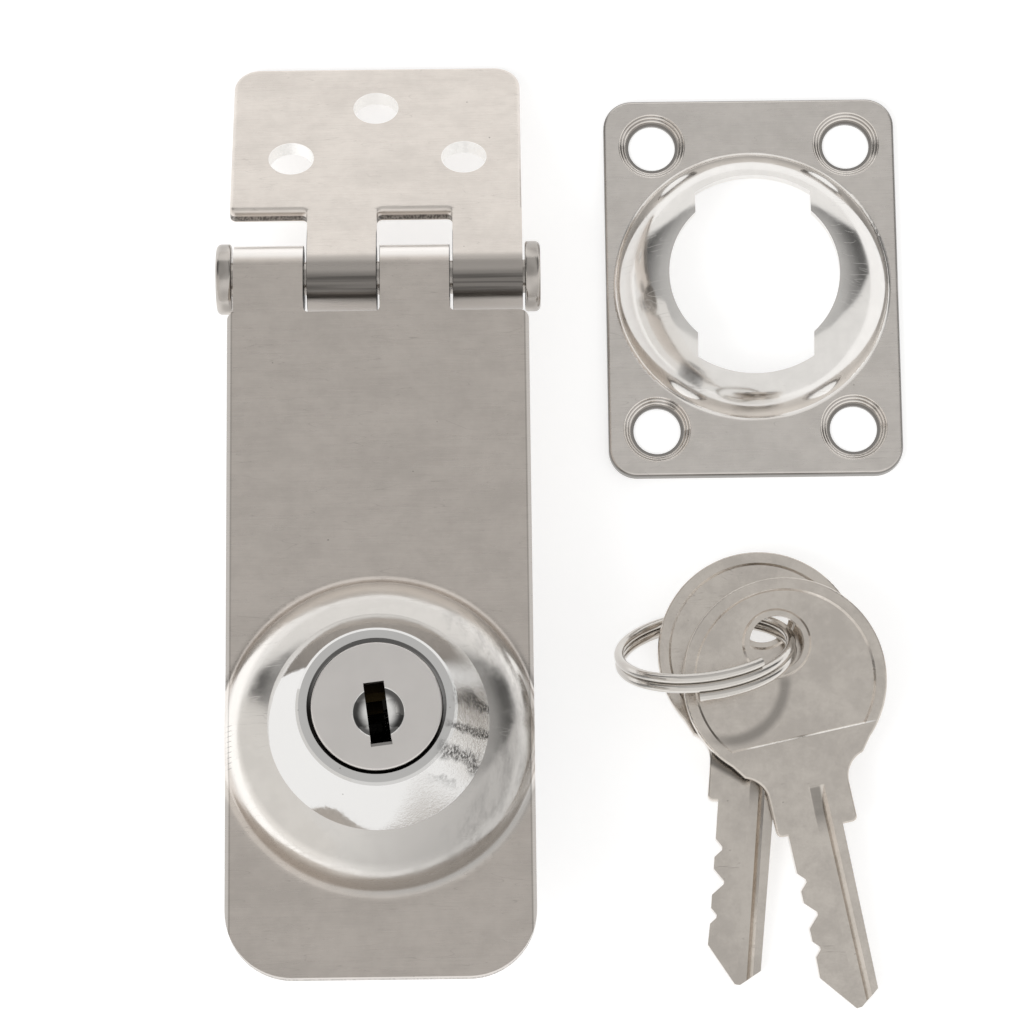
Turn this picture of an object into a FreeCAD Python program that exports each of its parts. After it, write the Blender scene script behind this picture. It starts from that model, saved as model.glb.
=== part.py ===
import FreeCAD, Part
import math
import os

# Keyed hasp lock in millimetres, +Z up, table at z = 0.
# Origin: middle of the strike plate's flat back. +Y runs from the keys towards the hinge.

os.makedirs("parts", exist_ok=True)
V = FreeCAD.Vector
X, Y, Z = V(1, 0, 0), V(0, 1, 0), V(0, 0, 1)

# Hasp plate and mounting leaf
sheet = 2.0                  # stainless sheet of both hasp pieces
plate_width = 38.0
plate_end = 30.0             # lock axis to the free end
hinge_reach = 60.8           # lock axis to the hinge axis
end_radius = 8.3
edge_round = 0.9
knuckle_count = 4
knuckle_gap = 0.4
hinge_width = plate_width - 1.4
pin_radius = 2.15
pin_running = 0.05           # radial, pin in its knuckles
notch_reach = 5.8            # hinge axis to the bottom of a plate notch
leaf_notch_reach = 8.2
leaf_length = 34.8
leaf_left, leaf_right = plate_width / 2, plate_width / 2 - 0.7
leaf_corner = 3.4
leaf_hole = 2.85
leaf_holes = ((-11.3, 17.65), (-0.45, 26.95), (10.95, 17.65))
head_radius, head_thick, head_gap = 4.5, 1.95, 0.3
hasp_place = V(-48.2, -62.7, 0)
plate_tilt = 2.92            # degrees, hinge end down
curl_seam = 0.35

# Raised boss of the hasp plate and the lock housing on it
boss_base = 19.6             # where the wall would meet the plate without its blend
boss_height = 7.3
boss_rim, boss_slope = 13.4, 20.0    # start of the flat top, and the wall's slope there
boss_blend = 1.4
cone_base, cone_top, cone_height = 13.5, 9.7, 8.2
bezel_band, bezel_depth = 1.3, 1.1
flange_radius, flange_thick = 7.95, 2.2
core_radius = 6.3
plug_running = 0.05
tail_radius = 8.9
tail_flat = 8.2              # half distance over the two flats
hole_slack = 0.05
housing_end = -11.0          # rear end of the housing, from the plate's top face
nut_outer = 10.6             # nut and washer pass the strike's opening
washer_thick, nut_thick = 0.8, 2.2
spanner_slot, spanner_deep = 2.4, 1.1

# Plug, tumblers and cam
core_end = -12.8
keyway_width, keyway_height, keyway_mid = 2.5, 7.4, -0.75
keyway_lean = 7.1            # degrees
keyway_depth = 23.6
foot_reach, foot_depth = 0.5, 0.6    # shallow step at the keyway's foot
ward_width, ward_depth = 1.3, 0.5
dimple_radius, dimple_depth, dimple_mid = 3.15, 0.8, (0.25, -0.8)
wafer_thick, wafer_width = 1.0, 5.4
wafer_slack = 0.05
wafer_travel = 1.0
window_width = 3.0
lug_reach, lug_height = 5.0, 1.0
spring_radius, spring_wire = 0.62, 0.22
spring_turns, wire_sides = 5, 6
groove_extra = 0.2
tail_square, tail_end = 7.0, -17.3
clip_thick, clip_outer, clip_depth = 0.8, 8.1, 1.0
stop_radius, stop_from, stop_to, stop_level = 0.8, 4.2, 8.4, -9.4
stop_slack = 0.06
cam_outer, cam_wall_gap = 10.5, 0.3
cam_rim = boss_height - sheet - washer_thick - nut_thick - 0.4   # just behind the nut
lobe_radius, lobe_width, lobe_thick = 12.8, 14.2, 2.6
web_top, web_bottom, cam_bottom = -13.4, -17.5, -21.7
cam_recess = 5.6
cam_chamfer = 0.8
cam_washer_outer, cam_washer_thick = 4.9, 0.8
screw_radius, screw_length = 2.0, 7.0
screw_head, screw_head_high = 3.6, 2.3

# Strike plate
strike_width, strike_length, strike_thick = 38.0, 50.6, 1.5
strike_corner, strike_round = 3.7, 0.45
strike_boss, strike_boss_high = 17.7, 6.8
strike_slope, strike_blend = 12.0, 0.6
opening_small, opening_large, opening_lobe = 10.97, 13.27, 14.9
opening_trim = 0.4           # the punch cuts this far outside the flat of the boss
strike_hole, strike_sink, sink_step = 3.05, 4.35, 3.5
sink_depth, step_depth = 0.75, 1.05
strike_hole_x, strike_hole_y = 12.7, 19.1

# Keys and ring
key_thick = 2.0
bow_radius, bow_mid = 12.9, 4.7
bow_rim, bow_recess = 1.4, 0.28
key_hole, hole_rim = 3.45, 0.65
neck_left, neck_right, shoulder = 5.3, 5.05, 24.0
blade_left, blade_right, key_reach = 3.95, 3.1, 46.9
chord = 12.3
cut_first, cut_pitch = 29.95, 4.3
cut_depths = (0.9, 1.4, 0.75, 0.25)
groove_left, groove_wide, groove_deep, groove_start = -0.15, 2.0, 0.65, 18.6
groove_bevel, groove_cutter = 0.75, 9.0
key_1_place, key_1_yaw = V(1.53, -48.96, 8.8), 12.1
key_2_place, key_2_yaw = V(0.0, -44.5, 4.0), -4.9
ring_radius, wire_radius, ring_lean, ring_yaw = 10.85, 0.62, 56.0, 8.0
ring_place = V(-7.5, -50.2, 0)
ring_sweep = 765.0           # two turns and an overlap
ring_start = 259.0
ring_points = 44
tip_lift = 0.02

barrel = sheet + pin_radius + pin_running
half = plate_width / 2


def box(x0, x1, y0, y1, z0, z1):
    return Part.makeBox(x1 - x0, y1 - y0, z1 - z0, V(x0, y0, z0))


def rod(radius, z0, z1, x=0.0, y=0.0):
    return Part.makeCylinder(radius, z1 - z0, V(x, y, z0))


def rounded(points, radii):
    """A closed wire through points at z = 0 with a rounding at each."""
    n = len(points)
    pts = [V(p[0], p[1], 0) for p in points]
    edges, ends = [], []
    for i, p in enumerate(pts):
        r = radii[i] if isinstance(radii, (list, tuple)) else radii
        a, b = (pts[i - 1] - p).normalize(), (pts[(i + 1) % n] - p).normalize()
        turn = a.getAngle(b)
        if r <= 0 or turn > math.pi - 1e-3:
            ends.append((p, p, None))
            continue
        cut = r / math.tan(turn / 2)
        middle = p + (a + b).normalize() * (r / math.sin(turn / 2))
        on_arc = middle + (p - middle).normalize() * r
        ends.append((p + a * cut, p + b * cut, on_arc))
    for i in range(n):
        start, finish, on_arc = ends[i]
        if on_arc:
            edges.append(Part.Arc(start, on_arc, finish).toShape())
        following = ends[(i + 1) % n][0]
        if finish.distanceToPoint(following) > 1e-6:
            edges.append(Part.makeLine(finish, following))
    return Part.Wire(edges)


def slab(wire, z0, z1):
    face = Part.Face(wire)
    face.translate(V(0, 0, z0))
    return face.extrude(V(0, 0, z1 - z0))


def turned(edges):
    """Solid of revolution about Z from edges in the XZ plane."""
    return Part.Face(Part.Wire(edges)).revolve(V(0, 0, 0), Z, 360)


def lathe(points):
    pts = [V(r, 0, z) for r, z in points]
    return turned(Part.makePolygon(pts + [pts[0]]).Edges)


def soften(shape, radius, keep):
    """Fillet the edges chosen by keep, one size down if the kernel refuses."""
    edges = [e for e in shape.Edges if keep(e)]
    for r in (radius, radius * 0.6, radius * 0.3):
        try:
            made = shape.makeFillet(r, edges)
            if made.isValid() and made.Volume > 0:
                return made
        except Exception:
            pass
    return shape


def along(edge, z):
    return all(abs(v.Z - z) < 1e-4 for v in edge.Vertexes) and abs(edge.BoundBox.ZLength) < 1e-4


def curl(x0, x1, flat_to):
    """One knuckle: the sheet runs along its top tangent and rolls round the pin. Hinge axis at y = z = 0."""
    solid = Part.makeCylinder(barrel, x1 - x0, V(x0, 0, 0), X)
    solid = solid.fuse(box(x0, x1, flat_to, 0, barrel - sheet, barrel))
    solid = solid.cut(Part.makeCylinder(pin_radius + pin_running, x1 - x0, V(x0, 0, 0), X))
    under = box(x0, x1, flat_to, -math.sqrt(barrel ** 2 - (barrel - sheet) ** 2) * 0.55,
                barrel - sheet - curl_seam, barrel - sheet)
    return solid.cut(under)


def knuckles(first):
    """X ranges of every second knuckle."""
    wide = (hinge_width - (knuckle_count - 1) * knuckle_gap) / knuckle_count
    starts = [-hinge_width / 2 + i * (wide + knuckle_gap) for i in range(first, knuckle_count, 2)]
    return [(s, s + wide) for s in starts]


def boss_wall(base, height, rim, slope, blend):
    """Centre, radius and blend foot of a boss wall that rises from (base, 0) to (rim, height)."""
    tilt = math.radians(slope)
    half_turn = math.atan2(height, base - rim) - tilt
    radius = math.hypot(base - rim, height) / (2 * math.sin(half_turn))
    centre_r, centre_z = rim - radius * math.sin(tilt), height - radius * math.cos(tilt)
    foot = centre_r + math.sqrt((radius + blend) ** 2 - (blend - centre_z) ** 2)
    return centre_r, centre_z, radius, foot


def boss(base, height, rim, slope, blend, thick, bore):
    """Pressed boss of even wall on a plate whose top is z = 0: blend, curved wall, flat top."""
    centre_r, centre_z, radius, foot = boss_wall(base, height, rim, slope, blend)
    inner = radius - thick
    at_foot = math.atan2(foot - centre_r, blend - centre_z)
    at_rim = math.radians(slope)
    at_corner = math.acos((height - thick - centre_z) / inner)

    def wall(size, angle):
        return V(centre_r + size * math.sin(angle), 0, centre_z + size * math.cos(angle))

    def fillet(size, angle):
        return V(foot - size * math.sin(angle), 0, blend - size * math.cos(angle))
    low, low_in, corner = wall(radius, at_foot), wall(inner, at_foot), wall(inner, at_corner)
    top, under = V(foot, 0, 0), V(foot, 0, -thick)
    lip, lip_in = V(bore, 0, height), V(bore, 0, height - thick)
    return turned([
        Part.Arc(top, fillet(blend, at_foot / 2), low).toShape(),
        Part.Arc(low, wall(radius, (at_foot + at_rim) / 2), wall(radius, at_rim)).toShape(),
        Part.makeLine(wall(radius, at_rim), lip), Part.makeLine(lip, lip_in),
        Part.makeLine(lip_in, corner),
        Part.Arc(corner, wall(inner, (at_foot + at_corner) / 2), low_in).toShape(),
        Part.Arc(low_in, fillet(blend + thick, at_foot / 2), under).toShape(),
        Part.makeLine(under, top)])


def make_hasp_plate():
    """Flat plate with the pressed boss and two curled knuckles. Lock axis at x = y = 0, top face z = 0."""
    cuts = [(a - knuckle_gap, b + knuckle_gap) for a, b in knuckles(1)]
    low = hinge_reach - notch_reach
    right = hinge_width / 2
    points = [(-half, -plate_end), (half, -plate_end), (half, low), (cuts[1][0], low),
              (cuts[1][0], hinge_reach), (cuts[0][1], hinge_reach), (cuts[0][1], low),
              (cuts[0][0], low), (cuts[0][0], hinge_reach), (-right, hinge_reach), (-right, low),
              (-half, low)]
    radii = [end_radius, end_radius, 1.2, 0.6, 0, 0, 0.6, 0.6, 0, 0, 0.3, 1.0]
    plate = slab(rounded(points, radii), -sheet, 0)
    plate = soften(plate, edge_round, lambda e: along(e, 0) and e.BoundBox.YMax < low + 0.05
                   and e.BoundBox.YMin < low - 0.01)
    foot = boss_wall(boss_base, boss_height, boss_rim, boss_slope, boss_blend)[3]
    plate = plate.cut(rod(foot, -sheet - 1, 1))
    raised = boss(boss_base, boss_height, boss_rim, boss_slope, boss_blend, sheet, 1.0)
    raised = raised.common(box(-half, half, -plate_end, hinge_reach, -sheet - 1, boss_height + 1))
    plate = plate.fuse(raised)
    hole = rod(tail_radius + hole_slack, 0, boss_height + 1).common(
        box(-tail_flat - hole_slack, tail_flat + hole_slack, -20, 20, 0, boss_height + 1))
    plate = plate.cut(hole)
    for x0, x1 in knuckles(0):
        roll = curl(x0, x1, -notch_reach)
        roll.translate(V(0, hinge_reach, -barrel))
        plate = plate.fuse(roll)
    return plate.removeSplitter()


def make_mount_leaf():
    """Mounting leaf. Hinge axis at y = z = 0, leaf towards +Y, its sheet tangent to the top."""
    top, bottom = barrel, barrel - sheet
    tabs = knuckles(1)
    low = leaf_notch_reach
    points = [(-leaf_left, leaf_length), (-leaf_left, low), (tabs[0][0], low), (tabs[0][0], 0),
              (tabs[0][1], 0), (tabs[0][1], low), (tabs[1][0], low), (tabs[1][0], 0),
              (tabs[1][1], 0), (leaf_right, leaf_length)]
    radii = [leaf_corner, 0.8, 0.8, 0, 0, 0.8, 0.8, 0, 0, leaf_corner]
    leaf = slab(rounded(points, radii), bottom, top)
    leaf = soften(leaf, edge_round * 0.8, lambda e: along(e, top) and e.BoundBox.YMin > low - 0.9
                  and e.BoundBox.YMax > low - 0.01)
    for x, y in leaf_holes:
        leaf = leaf.cut(rod(leaf_hole, bottom - 1, top + 1, x, y))
    for x0, x1 in tabs:
        ring = Part.makeCylinder(barrel, x1 - x0, V(x0, 0, 0), X)
        flat = box(x0, x1, 0, low, bottom, top)
        ring = ring.fuse(flat).cut(Part.makeCylinder(pin_radius + pin_running, x1 - x0, V(x0, 0, 0), X))
        reach = math.sqrt(barrel ** 2 - bottom ** 2)
        ring = ring.cut(box(x0, x1, reach * 0.55, low, bottom - curl_seam, bottom))
        leaf = leaf.fuse(ring)
    return leaf.removeSplitter()


def make_hinge_pin():
    """Pin with a thick rounded head upset at each end, along X."""
    inner = hinge_width / 2 + head_gap
    solid = Part.makeCylinder(pin_radius, 2 * inner + 0.4, V(-inner - 0.2, 0, 0), X)
    for side in (-1, 1):
        head = Part.makeCylinder(head_radius, head_thick, V(side * inner, 0, 0), V(side, 0, 0))
        outside = side * (inner + head_thick)
        head = soften(head, 0.7, lambda e: abs(e.BoundBox.Center.x - outside) < 1e-3
                      and e.BoundBox.XLength < 1e-4)
        head = soften(head, 0.35, lambda e: abs(e.BoundBox.Center.x - side * inner) < 1e-3
                      and e.BoundBox.XLength < 1e-4)
        solid = solid.fuse(head)
    return solid.removeSplitter()


def face_level():
    return boss_height + cone_height


def leaned(shape):
    """Turn a shape laid out along the keyway into the photographed lean."""
    shape = shape.copy()
    shape.rotate(V(0, 0, 0), Z, keyway_lean)
    return shape


def make_cylinder_housing():
    """Cone, bezel and threaded tail in one piece, bored for the plug."""
    top = face_level()
    base = boss_height
    mouth = cone_top - bezel_band
    points = [(0, housing_end), (tail_radius - 0.5, housing_end), (tail_radius, housing_end + 0.5),
              (tail_radius, base), (cone_base - 0.15, base), (cone_base, base + 0.35),
              (cone_top + 0.25, top - 0.75), (cone_top + 0.05, top - 0.35), (cone_top - 0.3, top),
              (mouth, top), (0, top)]
    solid = lathe(points)
    flats = box(-tail_flat, tail_flat, -20, 20, base - sheet, base)
    collar = rod(tail_radius + 1, base - sheet, base).cut(flats)
    solid = solid.cut(collar)
    seat = top - flange_thick
    solid = solid.cut(rod(core_radius + plug_running, housing_end - 1, top + 1))
    solid = solid.cut(rod(flange_radius + plug_running, seat, top + 1))
    solid = solid.cut(rod(mouth, top - bezel_depth, top + 1))
    first = wafer_level(0) + 1.4
    reach = core_radius + wafer_travel + groove_extra
    for turn in (0, 90):
        groove = box(-wafer_width / 2 - groove_extra, wafer_width / 2 + groove_extra,
                     -reach, 0, housing_end - 1, first)
        groove = groove.common(rod(reach, housing_end - 1, first))
        groove.rotate(V(0, 0, 0), Z, keyway_lean + turn)
        solid = solid.cut(groove)
    half_turn = math.degrees(math.asin((stop_radius + stop_slack) / stop_to)) + 1.5
    notch = Part.makeCylinder(tail_radius + 1, stop_level + stop_radius + 0.3 - housing_end + 1,
                              V(0, 0, housing_end - 1), Z, 90 + 2 * half_turn)
    notch.rotate(V(0, 0, 0), Z, 180 - half_turn + keyway_lean)
    return solid.cut(notch).removeSplitter()


def wafer_level(i):
    """Height of tumbler i: the key's shoulder stops on the plug's face."""
    return face_level() - (cut_first - shoulder) - i * cut_pitch


def wafer_outline(slack):
    """Solid tumbler block without its window, laid out along Y."""
    r = core_radius - (0.06 if slack == 0 else -1)
    z = wafer_thick / 2 + slack
    w = wafer_width / 2 + slack
    body = box(-w, w, -20, 20, -z, z).common(rod(r, -z, z))
    lug = box(-lug_reach - slack, 0, -lug_height / 2, lug_height / 2, -z, z)
    return body, lug


def make_key_plug():
    """Rotating plug: flange, core with keyway and tumbler slots, square tail for the cam."""
    top = face_level()
    solid = rod(core_radius, core_end, top - 0.5)
    flange = rod(flange_radius, top - flange_thick, top)
    flange = soften(flange, 0.3, lambda e: along(e, top))
    solid = solid.fuse(flange)
    sphere = (dimple_radius ** 2 + dimple_depth ** 2) / (2 * dimple_depth)
    solid = solid.cut(Part.makeSphere(sphere, V(dimple_mid[0], dimple_mid[1],
                                                top + sphere - dimple_depth)))
    s = tail_square / 2
    tail = box(-s, s, -s, s, tail_end, core_end).common(rod(s * 1.25, tail_end, core_end))
    solid = solid.fuse(tail)
    h = keyway_height / 2
    slot = box(-keyway_width / 2, keyway_width / 2, keyway_mid - h, keyway_mid + h,
               top - keyway_depth, top + 1)
    ward = box(keyway_width / 2 - ward_depth, keyway_width / 2, keyway_mid + 0.35,
               keyway_mid + 0.35 + ward_width, top - keyway_depth, top - 1.0)
    foot = box(-keyway_width / 2 - 0.05, keyway_width / 2 + 0.05, keyway_mid - h - foot_reach,
               keyway_mid - h + 0.1, top - foot_depth, top + 1)
    solid = solid.cut(leaned(slot.cut(ward).fuse(foot)))
    for i in range(len(cut_depths)):
        body, lug = wafer_outline(wafer_slack)
        pocket = box(-lug_reach - wafer_slack, 0, -lug_height / 2 - wafer_travel - 0.15,
                     lug_height / 2 + 0.15, -wafer_thick / 2 - wafer_slack,
                     wafer_thick / 2 + wafer_slack)
        hole = Part.makeCylinder(spring_radius + 0.08, spring_room(), V(spring_x(), lug_height / 2, 0), Y)
        cutter = body.fuse([pocket, hole])
        cutter.translate(V(0, 0, wafer_level(i)))
        solid = solid.cut(leaned(cutter))
    groove_top = housing_end - 0.1
    solid = solid.cut(rod(core_radius + 1, groove_top - clip_thick - 0.05, groove_top).cut(
        rod(core_radius - clip_depth, groove_top - clip_thick - 0.05, groove_top)))
    hole = Part.makeCylinder(stop_radius, stop_to, V(0, 0, stop_level), V(-1, 0, 0))
    hole.translate(V(-stop_from, 0, 0))
    solid = solid.cut(leaned(hole))
    solid = solid.cut(rod(screw_radius, tail_end - 1, tail_end + screw_length))
    return solid.removeSplitter()


def spring_x():
    return -(wafer_width / 2 + lug_reach) / 2


def spring_room():
    return 2.2


def make_wafer(i):
    """Flat tumbler with a window; shown at the shear line, as when the key is in."""
    body, lug = wafer_outline(0)
    lug_in = box(-lug_reach, 0, -lug_height / 2, lug_height / 2, -wafer_thick / 2, wafer_thick / 2)
    solid = body.fuse(lug_in)
    top_of_blade = keyway_mid + (blade_left + blade_right) / 2 - cut_depths[i]
    window = box(-window_width / 2, window_width / 2, keyway_mid - keyway_height / 2 - 0.15,
                 top_of_blade + 0.02, -1, 1)
    solid = solid.cut(window)
    solid.translate(V(0, 0, wafer_level(i)))
    return leaned(solid).removeSplitter()


def make_wafer_springs():
    """One small coil spring above each tumbler's side lug."""
    coils = []
    for i in range(len(cut_depths)):
        room = spring_room() - 0.05
        rise = (room - 2 * spring_wire * 0.5 - 0.02) / spring_turns
        helix = Part.makeHelix(rise, rise * spring_turns, spring_radius - spring_wire / 2)
        start = helix.Vertexes[0].Point
        corners = [start + V(math.cos(2 * math.pi * k / wire_sides), 0, math.sin(2 * math.pi * k / wire_sides))
                   * (spring_wire / 2) for k in range(wire_sides)]
        section = Part.makePolygon(corners + [corners[0]])
        coil = Part.Wire(helix.Edges).makePipeShell([section], True, True)
        coil.rotate(V(0, 0, 0), X, -90)
        coil.translate(V(spring_x(), lug_height / 2 + spring_wire / 2 + 0.02, wafer_level(i)))
        coils.append(leaned(coil))
    return Part.makeCompound(coils)


def make_stop_pin():
    """Cross pin pressed in the plug; it runs in the housing's quarter-turn notch."""
    pin = Part.makeCylinder(stop_radius, stop_to - stop_from, V(-stop_from, 0, stop_level), V(-1, 0, 0))
    return leaned(pin)


def make_plug_clip():
    """Open retaining clip in the plug's groove behind the housing."""
    top = housing_end - 0.12
    ring = rod(clip_outer, top - clip_thick, top).cut(
        rod(core_radius - clip_depth + 0.03, top - clip_thick, top))
    gap = box(-2.6, 2.6, 0, 20, top - clip_thick, top)
    return ring.cut(gap)


def make_housing_washer():
    """Notched lock washer under the boss."""
    top = boss_height - sheet
    washer = rod(nut_outer, top - washer_thick, top).cut(rod(tail_radius + hole_slack, 0, top))
    for k in range(12):
        notch = box(-0.4, 0.4, nut_outer - 0.7, nut_outer + 1, top - washer_thick, top)
        notch.rotate(V(0, 0, 0), Z, k * 30)
        washer = washer.cut(notch)
    return washer


def make_housing_nut():
    """Round nut with four spanner slots; it clamps the housing in the boss."""
    top = boss_height - sheet - washer_thick
    low = top - nut_thick
    nut = rod(nut_outer, low, top)
    nut = soften(nut, 0.3, lambda e: along(e, low))
    for k in range(4):
        slot = box(-spanner_slot / 2, spanner_slot / 2, nut_outer - spanner_deep, nut_outer + 1,
                   low - 1, top + 1)
        slot.rotate(V(0, 0, 0), Z, 45 + 90 * k)
        nut = nut.cut(slot)
    return nut.cut(rod(tail_radius + 0.02, low - 1, top + 1))


def make_locking_cam():
    """Deep cup on the plug's square tail, with the two locking lobes at its rim."""
    cup = lathe([(0, cam_bottom), (cam_outer - cam_chamfer, cam_bottom),
                 (cam_outer, cam_bottom + cam_chamfer), (cam_outer, cam_rim), (0, cam_rim)])
    lobes = rod(lobe_radius, cam_rim - lobe_thick, cam_rim).common(
        box(-lobe_width / 2, lobe_width / 2, -20, 20, cam_rim - lobe_thick, cam_rim))
    lobes = soften(lobes, 0.5, lambda e: e.BoundBox.XLength > 8 and abs(e.BoundBox.ZLength) < 1e-4)
    cup = cup.fuse(lobes)
    cup = cup.cut(rod(tail_radius + cam_wall_gap, web_top, cam_rim + 1))
    cup = cup.cut(rod(cam_recess, cam_bottom - 1, web_bottom))
    s = tail_square / 2 + 0.05
    square = box(-s, s, -s, s, web_bottom - 1, web_top + 1).common(
        rod(tail_square / 2 * 1.25 + 0.05, web_bottom - 1, web_top + 1))
    return cup.cut(square).removeSplitter()


def make_cam_washer():
    return rod(cam_washer_outer, web_bottom - cam_washer_thick, web_bottom).cut(
        rod(screw_radius + 0.15, web_bottom - 2, web_bottom + 1))


def make_cam_screw():
    seat = web_bottom - cam_washer_thick
    head = rod(screw_head, seat - screw_head_high, seat)
    head = soften(head, 0.8, lambda e: along(e, seat - screw_head_high))
    shank = rod(screw_radius - 0.02, seat, tail_end + screw_length - 0.4)
    slot = box(-0.5, 0.5, -6, 6, seat - screw_head_high, seat - screw_head_high + 1.1)
    return head.fuse(shank).cut(slot).removeSplitter()


def hasp_height():
    """Height of the plate's top face at the lock axis: the cam's rim stands on the table."""
    t = math.radians(plate_tilt)
    return -cam_bottom * math.cos(t) + (cam_outer - cam_chamfer) * math.sin(t)


def to_table(shape):
    """From the hasp plate's own frame to the table."""
    shape = shape.copy()
    shape.rotate(V(0, 0, 0), X, -plate_tilt)
    shape.translate(V(hasp_place.x, hasp_place.y, hasp_height()))
    return shape


def hinge_point():
    t = math.radians(plate_tilt)
    y = hinge_reach * math.cos(t) - barrel * math.sin(t)
    z = -hinge_reach * math.sin(t) - barrel * math.cos(t)
    return V(hasp_place.x, hasp_place.y + y, hasp_height() + z)


def leaf_slope():
    """Fold of the leaf below level: its far lower edge lies on the table."""
    under = barrel - sheet
    reach = math.hypot(leaf_length, under)
    return math.degrees(math.asin(hinge_point().z / reach) + math.atan2(under, leaf_length))


def leaf_to_table(shape):
    shape = shape.copy()
    shape.rotate(V(0, 0, 0), X, -leaf_slope())
    shape.translate(hinge_point())
    return shape


def make_strike_plate():
    """Flat plate with a round boss, two-lobed opening and four countersunk holes."""
    w, h = strike_width / 2, strike_length / 2
    plate = slab(rounded([(-w, -h), (w, -h), (w, h), (-w, h)], strike_corner), 0, strike_thick)
    plate = soften(plate, strike_round, lambda e: along(e, strike_thick))
    rim = opening_small - opening_trim
    foot = boss_wall(strike_boss, strike_boss_high, rim, strike_slope, strike_blend)[3]
    plate = plate.cut(rod(foot, -1, strike_thick + 1))
    cap = boss(strike_boss, strike_boss_high, rim, strike_slope, strike_blend, strike_thick, 1.0)
    cap.translate(V(0, 0, strike_thick))
    plate = plate.fuse(cap)
    top = strike_thick + strike_boss_high
    lobes = rod(opening_large, 2, top + 1).common(
        box(-opening_lobe / 2, opening_lobe / 2, -20, 20, 2, top + 1))
    plate = plate.cut(rod(opening_small, 2, top + 1).fuse(lobes))
    for x in (-strike_hole_x, strike_hole_x):
        for y in (-strike_hole_y, strike_hole_y):
            sink = Part.makeCone(sink_step, strike_sink, sink_depth, V(x, y, strike_thick - sink_depth))
            plate = plate.cut([rod(strike_hole, -1, strike_thick + 1, x, y), sink,
                               rod(sink_step, strike_thick - step_depth, strike_thick + 1, x, y)])
    return plate.removeSplitter()


def key_pitch(height):
    """Slope of a key whose hole is held at this height by the ring while its tip lies on the table."""
    side = key_thick / 2
    reach = math.hypot(key_reach, side)
    return math.degrees(math.asin((height - tip_lift) / reach) - math.atan2(side, key_reach))


def bow_field():
    """Sunk field of the bow's upper face: it leaves the rim, the ring round the hole and the chord step."""
    top, floor = key_thick, key_thick - bow_recess
    field = Part.makeCone(bow_radius - bow_rim - bow_recess, bow_radius - bow_rim, bow_recess, V(0, bow_mid, floor))
    far = bow_radius * 2
    step = [V(-far, -far, floor), V(-far, chord - bow_recess, floor), V(-far, chord, top), V(-far, -far, top)]
    field = field.common(Part.Face(Part.makePolygon(step + [step[0]])).extrude(V(2 * far, 0, 0)))
    collar = Part.makeCone(key_hole + hole_rim + bow_recess, key_hole + hole_rim, bow_recess, V(0, 0, floor))
    return field.cut(collar)


def key_groove():
    """Milled groove to the tip: one upright wall, one bevelled, and the cutter's run-out at its start."""
    left, right = groove_left, groove_left + groove_wide
    top, floor = key_thick, key_thick - groove_deep
    lift = 0.2 / groove_deep
    section = [V(left, 0, floor), V(right - groove_bevel, 0, floor),
               V(right + groove_bevel * lift, 0, top + 0.2), V(left, 0, top + 0.2)]
    bar = Part.Face(Part.makePolygon(section + [section[0]])).extrude(V(0, key_reach + 1, 0))
    run_out = math.sqrt(groove_cutter ** 2 - (groove_cutter - groove_deep) ** 2)
    full = groove_start + run_out
    cutter = Part.makeCylinder(groove_cutter, 20, V(-10, full, floor + groove_cutter), X)
    return bar.common(cutter.fuse(box(-10, 10, full, key_reach + 2, floor - 1, top + 1)))


def make_key(place, yaw):
    """Key blank with bow, hole, neck, shoulders and cut blade. Hole at 0, tip along +Y, then placed."""
    t = key_thick
    bow = rod(bow_radius, 0, t, 0, bow_mid)
    neck = slab(rounded([(-neck_left, bow_mid), (neck_right, bow_mid), (neck_right, shoulder),
                         (-neck_left, shoulder)], [0, 0, 0.7, 0.7]), 0, t)
    join = bow_mid + math.sqrt(bow_radius ** 2 - 8.0 ** 2)
    web = slab(rounded([(-9.2, join - 1.2), (9.2, join - 1.2), (neck_right, join + 4.2),
                        (-neck_left, join + 4.2)], 0), 0, t)
    web = web.cut(rod(3.4, -1, t + 1, neck_right + 3.4, join + 4.2)).cut(
        rod(3.4, -1, t + 1, -neck_left - 3.4, join + 4.2))
    edge = [(blade_right, shoulder - 2), (blade_right - 0.3, key_reach - 1.9), (0.35, key_reach),
            (-0.35, key_reach), (-blade_left - 0.1, key_reach - 4.7)]
    for i in reversed(range(len(cut_depths) - 1)):
        at = cut_first + i * cut_pitch
        deep = cut_depths[i]
        edge += [(-blade_left, at + 0.25 + deep), (-blade_left + deep, at + 0.2),
                 (-blade_left + deep, at - 0.2), (-blade_left, at - 0.25 - deep)]
    edge += [(-blade_left, shoulder - 2)]
    blade = slab(rounded(edge, 0), 0, t)
    key = bow.fuse([neck, web, blade]).removeSplitter()
    key = soften(key, 0.25, lambda e: (along(e, t) or along(e, 0)) and e.BoundBox.YMax < shoulder)
    upper = bow_field()
    key = key.cut([upper, upper.mirror(V(0, 0, t / 2), Z), rod(key_hole, -1, t + 1), key_groove()])
    key = key.removeSplitter()
    key.translate(V(0, 0, -t / 2))
    # the tip points to -Y on the table, so +X of the key faces right in the view
    key.rotate(V(0, 0, 0), Z, 180)
    key = key.mirror(V(0, 0, 0), X)
    key.rotate(V(0, 0, 0), X, key_pitch(place.z))
    key.rotate(V(0, 0, 0), Z, yaw)
    key.translate(place)
    return key


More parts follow.
